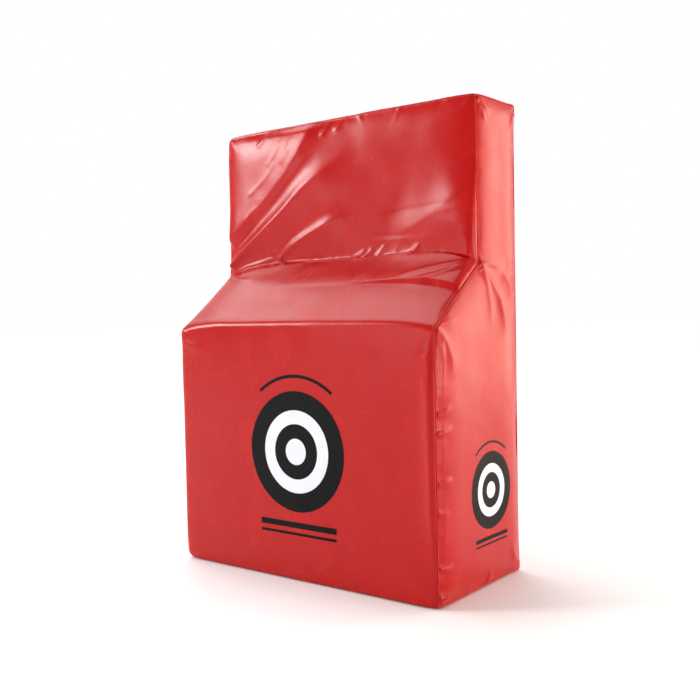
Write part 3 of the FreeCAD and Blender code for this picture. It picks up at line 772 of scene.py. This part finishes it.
cover = make_cover()
COVER_TREE = BVHTree.FromPolygons(
    [tuple(p) for p in read_points(cover)], [tuple(p.vertices) for p in cover.polygons],
)
panels = split_panels(cover)
SIDE_AREA = (BACK - FRONT) * STEP + (BACK - UPPER) * (TOP - STEP)
SIDE_AREA += (UPPER - FRONT) * (SHOULDER - STEP) / 2


# ---- what every smaller piece is made with ----
def finish_piece(name, bm, material, body, replaces=()):
    """A bmesh made an object that rides on a body and stands for its CAD nodes."""
    made = show(name, to_mesh(bm, name), material)
    if body:
        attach(made, body)
    if replaces:
        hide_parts(*replaces)
    return made


def drop_on_cover(bm, way, lift, skin=None):
    """Moves a bmesh's points along a way until they lie on the cover. With a skin, which is the level
    that meets the cover, they keep their heights over it."""
    way = Vector(way)
    for vert in bm.verts:
        depth = vert.co.dot(way)
        spot = COVER_TREE.ray_cast(vert.co - way * (depth + OUTSIDE), way)[0]
        if spot:
            height = 0 if skin is None else skin - depth
            vert.co += way * (spot.dot(way) - depth - lift - height)


# ---- prints: a plain target, an arc over it and two bars under it ----
PRINT_PITCH = 2.2 * MM    # the print's mesh, fine enough to follow the folds


def lay_arc(bm, inner, outer, start, end):
    """A flat ring, or part of one, in the XZ plane about the origin; angles in degrees from +X."""
    start, end = math.radians(start), math.radians(end)
    round_count = max(6, round((end - start) * outer / PRINT_PITCH))
    deep_count = max(1, round((outer - inner) / PRINT_PITCH))
    made = bmesh.ops.create_grid(bm, x_segments=round_count, y_segments=deep_count, size=0.5)["verts"]
    for vert in made:
        angle = end + (start - end) * (vert.co.x + 0.5)
        radius = inner + (outer - inner) * (vert.co.y + 0.5)
        vert.co = (radius * math.cos(angle), 0, radius * math.sin(angle))
    bmesh.ops.remove_doubles(bm, verts=made, dist=0.05 * MM)


def lay_bar(bm, wide, low, high):
    """A flat bar in the XZ plane, centred on x = 0."""
    across, along = (max(1, round(size / PRINT_PITCH)) for size in (wide, high - low))
    made = bmesh.ops.create_grid(bm, x_segments=across, y_segments=along, size=0.5)["verts"]
    for vert in made:
        vert.co = (vert.co.x * wide, 0, low + (vert.co.y + 0.5) * (high - low))


PRINT = {
    "black": [("arc", 63, 92, 0, 360), ("arc", 20, 42, 0, 360), ("arc", 112, 117, 52, 128),
              ("bar", 150, -117, -108), ("bar", 150, -128, -124)],
    "white": [("arc", 42, 63, 0, 360), ("arc", 0.4, 20, 0, 360)],
}
PRINT_LIFT = 0.22 * MM    # ink over the vinyl


def make_print(name, ink, material, centre, size, way):
    """One ink of the print, laid on the panel that faces against way."""
    bm = bmesh.new()
    for shape in PRINT[ink]:
        if shape[0] == "arc":
            lay_arc(bm, shape[1] * size * MM, shape[2] * size * MM, *shape[3:])
        else:
            lay_bar(bm, *(value * size * MM for value in shape[1:]))
    if way[0]:
        quarter = Matrix.Rotation(-way[0] * math.pi / 2, 3, "Z")
        bmesh.ops.rotate(bm, verts=bm.verts, cent=(0, 0, 0), matrix=quarter)
    bmesh.ops.translate(bm, verts=bm.verts, vec=centre)
    drop_on_cover(bm, way, PRINT_LIFT)
    bmesh.ops.recalc_face_normals(bm, faces=bm.faces)
    for face in bm.faces:
        if face.normal.dot(Vector(way)) > 0:
            face.normal_flip()
    return finish_piece(name, bm, material, "shield")


FRONT_PRINT_AT = (0, 0, 0.198)
SIDE_PRINT_AT = (0, 0.025, 0.142)
SIDE_PRINT_SIZE = 0.62    # of the front one's
for ink, material in (("black", BLACK_INK), ("white", WHITE_INK)):
    make_print("front_print_" + ink, ink, material, FRONT_PRINT_AT, 1.0, (0, 1, 0))
    make_print("side_print_" + ink, ink, material, SIDE_PRINT_AT, SIDE_PRINT_SIZE, (-1, 0, 0))


# ---- seams: the folded edge of the vinyl that stands up along each side panel ----
def tube(name, spline_points, radius, material, replaces, cyclic=False, sides=1):
    """A round bead along a line, as a mesh."""
    curve = bpy.data.curves.new(name, "CURVE")
    curve.dimensions = "3D"
    curve.bevel_depth, curve.bevel_resolution = radius, sides
    curve.use_fill_caps = not cyclic
    spline = curve.splines.new("POLY")
    spline.points.add(len(spline_points) - 1)
    spline.points.foreach_set("co", [c for p in spline_points for c in (*p, 1)])
    spline.use_cyclic_u = cyclic
    obj = bpy.data.objects.new(name, curve)
    bpy.context.collection.objects.link(obj)
    bm = bmesh.new()
    bm.from_mesh(settled(obj))
    bmesh.ops.remove_doubles(bm, verts=bm.verts, dist=0.01 * MM)
    bmesh.ops.recalc_face_normals(bm, faces=bm.faces)
    return finish_piece(name, bm, material, "shield", replaces)


def seam_loop(side):
    """The line of a side panel's seam, all round."""
    fine = 3 * MM
    loop = [(y, z) for y, z in zip(ROW_Y, ROW_Z)]
    loop += [(y, TOP) for y in np.arange(UPPER, BACK, fine)[1:]]
    loop += [(BACK, z) for z in np.arange(TOP, 0, -fine)]
    loop += [(y, 0) for y in np.arange(BACK, FRONT, -fine)]
    flat = np.array([(side * HALF, y, z) for y, z in loop])
    surface = Surface(flat)
    return surface.rounded() + surface.out * BEAD_LIFT


BEAD_LIFT = 0.15 * MM
BEAD_RADIUS = 0.85 * MM
for name, side in (("left", -1), ("right", 1)):
    tube("seam_bead_" + name, seam_loop(side), BEAD_RADIUS, SEAM_VINYL,
         ["seam_binding_" + name], cyclic=True, sides=2)


# ---- stitching ----
def stitch_row(bm, points, length=3.6 * MM, gap=1.3 * MM, thick=0.42 * MM, facing=(0, 1, 0)):
    """Stitches along a line: short rounded threads that dip at both ends."""
    points = np.array(points, float)
    reach = measured(points)
    count = max(1, int((reach[-1] + gap) / (length + gap)))
    pitch = reach[-1] / count
    for index in range(count):
        middle = (index + 0.5) * pitch
        a, b = (
            Vector([np.interp(middle + off, reach, points[:, k]) for k in range(3)])
            for off in (-length / 2, length / 2)
        )
        along = (b - a).normalized()
        aside = Vector(facing).cross(along).normalized()
        turn = Matrix((along, aside, Vector(facing))).transposed().to_4x4()
        scale = Matrix.Diagonal(((b - a).length / 2, thick, thick, 1))
        lie_down = Matrix.Rotation(math.pi / 2, 4, "Y")
        place = Matrix.Translation((a + b) / 2) @ turn @ scale @ lie_down
        bmesh.ops.create_uvsphere(bm, u_segments=6, v_segments=4, radius=1, matrix=place)


# ---- foam, inside the cover ----
GAP = 12 * MM             # from the cover's outside to the foam
FOAM_EDGE = 10 * MM
BOARD_FRONT, BOARD_BACK = (corner.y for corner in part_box("backing_board"))
FOAM = [
    # piece, its front, back and top, its material, the CAD node it stands for and its slot
    ("foam_slab", UPPER + GAP, BOARD_FRONT, TOP - GAP, SOFT_FOAM, "core_back_slab", "soft_foam"),
    ("foam_step", FRONT + GAP, UPPER + GAP, STEP - GAP, SOFT_FOAM, "core_step_block", "soft_foam"),
    ("foam_board", BOARD_FRONT, BOARD_BACK, TOP - GAP, FIRM_FOAM, "backing_board", "firm_foam"),
]
for name, front, back, top, material, node, slot in FOAM:
    bm = bmesh.new()
    made = bmesh.ops.create_cube(bm, size=1.0)["verts"]
    low, high = Vector((-HALF + GAP, front, GAP)), Vector((HALF - GAP, back, top))
    bmesh.ops.scale(bm, vec=high - low, verts=made)
    bmesh.ops.translate(bm, vec=(low + high) / 2, verts=made)
    bmesh.ops.bevel(bm, geom=bm.edges[:], offset=FOAM_EDGE, segments=4, profile=0.5, affect="EDGES",
                    material=-1)
    finish_piece(name, bm, material, "shield", [node])


# ---- patches ----
PATCH_THICK = 1.0 * MM
PATCH_CORNER = 8 * MM
PATCH_EDGE = [
    # from the cut edge inwards: how far in, and how far up, on a patch with large corners
    (0.35 * MM, 0.45 * PATCH_THICK), (2.2 * MM, 0.0), (1.4 * MM, -0.25 * MM), (1.6 * MM, 0.25 * MM),
]
PATCH_EDGE_RUN = 6.2 * MM


def patch(name, x, z, wide, high, corner, nodes, stitch_inset=3.2 * MM):
    """A vinyl patch with round corners and an edge rolled down to the cover. Returns the line of the
    stitches that hold it."""
    bm = bmesh.new()
    bmesh.ops.create_grid(bm, x_segments=1, y_segments=1, size=0.5)
    bmesh.ops.scale(bm, vec=(wide, high, 1), verts=bm.verts)
    bmesh.ops.bevel(bm, geom=bm.verts[:], offset=corner, segments=5, profile=0.5, affect="VERTICES",
                    material=-1)
    outline = [vert.co.copy() for vert in bm.faces[:][0].verts]
    top = bmesh.ops.extrude_face_region(bm, geom=bm.faces[:])["geom"]
    raised = [part for part in top if isinstance(part, bmesh.types.BMVert)]
    bmesh.ops.translate(bm, vec=(0, 0, 0.55 * PATCH_THICK), verts=raised)
    face = [part for part in top if isinstance(part, bmesh.types.BMFace)]
    scale = min(1.0, corner / PATCH_EDGE_RUN)
    for inset, depth in PATCH_EDGE:
        bmesh.ops.inset_region(bm, faces=face, thickness=inset * scale, depth=depth,
                               use_even_offset=True)
    bmesh.ops.triangulate(bm, faces=[face for face in bm.faces if len(face.verts) > 4])
    stand = Matrix(((-1, 0, 0), (0, 0, 1), (0, 1, 0)))
    bmesh.ops.rotate(bm, verts=bm.verts, cent=(0, 0, 0), matrix=stand)
    bmesh.ops.translate(bm, vec=(x, BACK, z), verts=bm.verts)
    drop_on_cover(bm, (0, -1, 0), -0.1 * MM, skin=-BACK)
    bmesh.ops.recalc_face_normals(bm, faces=bm.faces)
    made = finish_piece(name, bm, BLACK_VINYL, "shield", nodes)
    shrink = Matrix.Diagonal(((wide - 2 * stitch_inset) / wide, (high - 2 * stitch_inset) / high, 1))
    ring = [shrink @ point for point in outline + outline[:1]]
    return [Vector((x - point.x, BACK + PATCH_THICK - 0.15 * MM, z + point.y)) for point in ring]


HANDLE_X = 0.125
HANDLES = (("left", -HANDLE_X), ("right", HANDLE_X))
ANCHOR = 143 * MM         # from the middle of a handle to the middle of each patch
patch_low, patch_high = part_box("anchor_patches")
PATCH_WIDE = (patch_high.x - patch_low.x) - 2 * HANDLE_X
PATCH_TALL = (patch_high.z - patch_low.z) - 2 * ANCHOR
GRIP_HEIGHT = (patch_high.z + patch_low.z) / 2
thread = bmesh.new()
nodes = ["anchor_patches"]
for side, x in HANDLES:
    for place, z in (("lower", GRIP_HEIGHT - ANCHOR), ("upper", GRIP_HEIGHT + ANCHOR)):
        row = patch(f"anchor_patch_{side}_{place}", x, z, PATCH_WIDE, PATCH_TALL, PATCH_CORNER, nodes)
        stitch_row(thread, row)
        nodes = []
finish_piece("anchor_patch_stitches", thread, GREY_THREAD, "shield")


# ---- handles: webbing that leaves its lower anchor, passes through the grip and returns ----
WEB_WIDE, WEB_THICK = 38 * MM, 2.4 * MM
SEAT = BACK + 2.55 * MM
REACH = BACK + 49.55 * MM
WEB_LINE = rounded_path(
    [(y, GRIP_HEIGHT + z * MM) for y, z in
     ((SEAT, -164), (SEAT, -122), (REACH, -84), (REACH, 84), (SEAT, 122), (SEAT, 164))],
    [12 * MM, 18 * MM, 18 * MM, 12 * MM],
)
WEB_AT = measured(WEB_LINE)


def strap(side, x):
    """Flat webbing on its line, its edges rounded, with a map that follows the cloth."""
    bm = bmesh.new()
    bmesh.ops.create_grid(bm, x_segments=12, y_segments=190, size=0.5, calc_uvs=True)
    layer = bm.loops.layers.uv.verify()
    for face in bm.faces:
        for loop in face.loops:
            loop[layer].uv = (loop.vert.co.x * WEB_WIDE, (loop.vert.co.y + 0.5) * WEB_AT[-1])
    for vert in bm.verts:
        reach = (vert.co.y + 0.5) * WEB_AT[-1]
        edge = abs(vert.co.x) * 2
        wave = 0.12 * MM * math.sin(reach * 210 + x * 40) * edge ** 4
        y, z = (np.interp(reach, WEB_AT, WEB_LINE[:, k]) for k in (0, 1))
        vert.co = (x + vert.co.x * WEB_WIDE, y + wave, z)
    bmesh.ops.recalc_face_normals(bm, faces=bm.faces)
    flat = show("flat_webbing", to_mesh(bm, "flat_webbing"), WEBBING)
    modifier = flat.modifiers.new("thickness", "SOLIDIFY")
    modifier.thickness, modifier.offset = WEB_THICK, 0
    modifier = flat.modifiers.new("rounded_edge", "BEVEL")
    modifier.width, modifier.segments, modifier.limit_method = 0.7 * MM, 2, "ANGLE"
    made = show("handle_strap_" + side, settled(flat), WEBBING)
    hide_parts("handle_webbing_" + side)
    return made


def box_and_cross(bm, x, z, wide, high, level):
    """A sewn box with a cross in it, on webbing that lies flat."""
    turns = ((-1, -1), (1, -1), (1, 1), (-1, 1))
    corners = [Vector((x + a * wide / 2, level, z + b * high / 2)) for a, b in turns]
    for a, b in ((0, 1), (1, 2), (2, 3), (3, 0), (0, 2), (1, 3)):
        stitch_row(bm, [corners[a], corners[b]])


def superellipse(angle, wide, deep, power):
    """A point of a rounded rectangle, by its angle."""
    c, s = math.cos(angle), math.sin(angle)
    return wide / 2 * math.copysign(abs(c) ** power, c), deep / 2 * math.copysign(abs(s) ** power, s)


GRIP_END = [
    # place along the grip and how full it is there, from its mouth to behind its stitched groove
    (-0.5, 0.0), (-0.498, 0.45), (-0.488, 0.78), (-0.465, 0.95), (-0.44, 0.985), (-0.425, 0.94),
    (-0.41, 0.985),
]
GRIP_RINGS = GRIP_END + [(place, 1.0) for place in np.linspace(-0.38, 0.38, 34)]
GRIP_RINGS += [(-place, full) for place, full in reversed(GRIP_END)]
GRIP_GROOVE = 0.425


def grip(side, x):
    """A padded sleeve round the webbing: foam under thin vinyl, drawn in at both ends."""
    low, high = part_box("grip_sleeve_" + side)
    wide, deep, length = high - low
    middle = (low + high) / 2
    bm = bmesh.new()
    last = len(GRIP_RINGS) - 1
    for vert in bmesh.ops.create_grid(bm, x_segments=56, y_segments=last, size=0.5)["verts"]:
        angle = (vert.co.x + 0.5) * 2 * math.pi
        place, full = GRIP_RINGS[round((vert.co.y + 0.5) * last)]
        outer = superellipse(angle, wide, deep, 0.55)
        inner = superellipse(angle, WEB_WIDE + 0.4 * MM, WEB_THICK + 0.4 * MM, 0.3)
        crown = 1 - 0.05 * (2 * place) ** 2
        ripple = math.sin(place * 95 + 2.1 * math.sin(angle * 2 + x * 9))
        crease = 0.22 * MM * ripple * max(0, math.sin(angle)) ** 0.5
        px, py = (b + (a * crown - b) * full for a, b in zip(outer, inner))
        vert.co = (x + px, middle.y + py - crease * full, middle.z + place * length)
    bmesh.ops.remove_doubles(bm, verts=bm.verts, dist=0.02 * MM)
    bmesh.ops.recalc_face_normals(bm, faces=bm.faces)
    body = "handle_" + side
    made = finish_piece("grip_" + side, bm, BLACK_VINYL, body,
                        ["grip_sleeve_" + side, "grip_foam_" + side])
    rows = bmesh.new()
    for z in (-1, 1):
        level = middle.z + z * GRIP_GROOVE * length
        for face_y, way in ((high.y, 1), (low.y, -1)):
            run = [(x + a * wide * 0.40, face_y - way * 0.55 * MM, level) for a in (-1, 1)]
            stitch_row(rows, run, facing=(0, way, 0))
    run = [(x, low.y + 0.05 * MM, middle.z + z * 0.39 * length) for z in (-1, 1)]
    stitch_row(rows, run, facing=(0, -1, 0))
    finish_piece("grip_stitches_" + side, rows, GREY_THREAD, body)


thread = bmesh.new()
for side, x in HANDLES:
    web = strap(side, x)
    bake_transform(web)
    grip(side, x)
    for z in (-ANCHOR, ANCHOR):
        box_and_cross(thread, x, GRIP_HEIGHT + z, 30 * MM, 32 * MM, SEAT + WEB_THICK / 2 + 0.1 * MM)
finish_piece("handle_anchor_stitches", thread, RED_THREAD, "shield")


# ---- zip ----
ZIP_MIDDLE = (ZIP_LOW + ZIP_HIGH) / 2
TAPE_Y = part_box("zip_tape_upper")[1].y
TAPE_SIZE = (2 * (HALF - 9 * MM), 15 * MM)
COIL_LOW, COIL_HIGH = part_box("zip_coil_upper")
COIL_PITCH = 2.0 * MM
COIL_TURNS = int(2 * COIL_HIGH.x / COIL_PITCH)
TURN_STEPS = 10
for name, sign in (("upper", 1), ("lower", -1)):
    bm = bmesh.new()
    bmesh.ops.create_grid(bm, x_segments=120, y_segments=6, size=0.5)
    bmesh.ops.scale(bm, vec=(*TAPE_SIZE, 1), verts=bm.verts)
    bmesh.ops.rotate(bm, verts=bm.verts, cent=(0, 0, 0), matrix=Matrix.Rotation(math.pi / 2, 3, "X"))
    bmesh.ops.translate(bm, vec=(0, TAPE_Y, ZIP_MIDDLE + sign * 8.1 * MM), verts=bm.verts)
    for face in bm.faces:
        if face.normal.y < 0:
            face.normal_flip()
    tape = finish_piece("zip_tape_cloth_" + name, bm, ZIP_TAPE, "shield",
                        ["zip_tape_" + name])
    points = []
    for step in range(COIL_TURNS * TURN_STEPS + 1):
        angle = step / TURN_STEPS * 2 * math.pi + (0 if sign > 0 else math.pi)
        points.append((
            -COIL_HIGH.x + step / TURN_STEPS * COIL_PITCH,
            (COIL_LOW.y + COIL_HIGH.y) / 2 + 0.72 * MM * math.sin(angle),
            ZIP_MIDDLE + sign * (1.55 - 2.15 * math.cos(angle)) * MM,
        ))
    tube("zip_coil_turns_" + name, points, 0.36 * MM, ZIP_COIL, ["zip_coil_" + name])

# ---- the zip's stitches and the tabs over its ends ----
thread = bmesh.new()
HEM_END = HALF - 14 * MM
for level in (ZIP_HIGH + 4 * MM, ZIP_HIGH + 10 * MM, ZIP_LOW - 4 * MM):
    stitch_row(thread, [(x, BACK + 0.1 * MM, level) for x in (-HEM_END, HEM_END)],
               length=3.8 * MM, gap=1.4 * MM)
finish_piece("zip_stitches", thread, RED_THREAD, "shield")
thread = bmesh.new()
tab_low, tab_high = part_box("zip_end_tabs")
TAB_WIDE, TAB_CORNER = 16 * MM, 2 * MM
TAB_AT = HALF - 6 * MM - TAB_WIDE / 2    # short of the seam, where the cover begins to turn
for name, x, nodes in (("left", -TAB_AT, ["zip_end_tabs"]), ("right", TAB_AT, [])):
    row = patch("zip_tab_" + name, x, ZIP_MIDDLE, TAB_WIDE, tab_high.z - tab_low.z, TAB_CORNER, nodes,
                2.2 * MM)
    stitch_row(thread, row, length=2.4 * MM, gap=0.9 * MM, thick=0.35 * MM)
for vert in thread.verts:
    spot = COVER_TREE.ray_cast(Vector((vert.co.x, OUTSIDE, vert.co.z)), Vector((0, -1, 0)))[0]
    if spot:
        vert.co.y += spot.y - BACK
finish_piece("zip_tab_stitches", thread, GREY_THREAD, "shield")

# ---- CAD nodes that keep their own shape ----
KEPT = {
    METAL: ["zip_end_stops", "zip_slider", "zip_pull", "vent_eyelets", "eyelet_washers"],
    HIDDEN_WEBBING: ["anchor_backing_left", "anchor_backing_right"],
}
for material, names in KEPT.items():
    for name in names:
        node_object = bpy.data.objects[name]
        if not node_object.material_slots:
            node_object.data.materials.append(material)
        for material_slot in node_object.material_slots:
            material_slot.material = material

# ---- floor, light and camera ----
FLOOR_REACH = 30.0
FLOOR_LEVEL = -0.6 * MM   # under the base's lowest pucker
floor_mesh = bmesh.new()
bmesh.ops.create_grid(floor_mesh, x_segments=1, y_segments=1, size=FLOOR_REACH)
bmesh.ops.translate(floor_mesh, vec=(0, 0, FLOOR_LEVEL), verts=floor_mesh.verts)
floor_material = bpy.data.materials.new("painted_studio_floor")
tree, places = new_tree(floor_material)
mottle = add(tree, "TexNoise", {"Vector": places["Object"], "Scale": 3.0})
tone = add(tree, "ValToRGB", {"Fac": mottle}, [(0.3, "#F6F6F5"), (0.7, "#F9F9F8")])
finished(tree, {"Base Color": tone, "Roughness": 0.6})
show("floor", to_mesh(floor_mesh, "floor"), floor_material)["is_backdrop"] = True

world = bpy.data.worlds.new("studio")
bpy.context.scene.world = world
tree, places = new_tree(world)
level = add(tree, "MapRange", {
    "Value": add(tree, "SeparateXYZ", {"Vector": places["Generated"]}).outputs["Y"],
    "From Min": -0.2, "From Max": 0.45, "To Min": 0.45, "To Max": 0.95,
})
seen = add(tree, "LightPath").outputs["Is Camera Ray"]
white_sky = {MIX_SHARE: seen, MIX_FIRST: level, MIX_SECOND: (1, 1, 1, 1)}
sky = add(tree, "Mix", white_sky, data_type="RGBA")
add(tree, "OutputWorld", {"Surface": add(tree, "Background", {"Color": sky, "Strength": 1.0})})


def softbox(name, place, target, size, power, tint="#FFFFFF"):
    """A square soft light that faces a point."""
    light = bpy.data.lights.new(name, "AREA")
    light.size, light.energy, light.color = size, power, colour(tint)[:3]
    obj = bpy.data.objects.new(name, light)
    bpy.context.collection.objects.link(obj)
    obj.location = place
    obj.rotation_euler = (Vector(target) - Vector(place)).to_track_quat("-Z", "Y").to_euler()


softbox("left_front", (-4.38, -3.48, 2.57), (-0.1, 0, 0.55), 1.4, 200)
softbox("front", (-1.35, -2.67, 0.56), (0.15, 0, 0.45), 0.4, 5)
softbox("right_back", (1.9, 2.7, 0.75), (0.1, 0, 0.35), 2.0, 57, "#FFDFC8")
softbox("right", (2.5, 0.35, 0.25), (0.25, 0, 0.2), 0.9, 28, "#FFEEE2")
sun = bpy.data.lights.new("overhead", "SUN")
sun.energy, sun.angle = 1.6, 0.8
sun_object = bpy.data.objects.new("overhead", sun)
bpy.context.collection.objects.link(sun_object)
sun_object.rotation_euler = Vector((0.5, -0.08, -0.86)).to_track_quat("-Z", "Y").to_euler()

CAMERA_PLACE = Vector((0.8895, -1.1424, 0.4046))
CAMERA_RIGHT = Vector((0.7942, 0.6073, -0.0201))
CAMERA_UP = Vector((-0.0085, 0.0440, 0.9991))
CAMERA_BACK = Vector((0.6076, -0.7933, 0.0401))
camera = bpy.data.cameras.new("camera")
camera.lens, camera.sensor_width = 46.25, 36.0
camera.clip_start, camera.clip_end = 0.05, 100
camera_object = bpy.data.objects.new("camera", camera)
bpy.context.collection.objects.link(camera_object)
turn = Matrix((CAMERA_RIGHT, CAMERA_UP, CAMERA_BACK)).transposed()
camera_object.matrix_world = Matrix.Translation(CAMERA_PLACE) @ turn.to_4x4()
bpy.context.scene.camera = camera_object
bpy.context.scene.view_settings.view_transform = "Standard"

low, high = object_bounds()
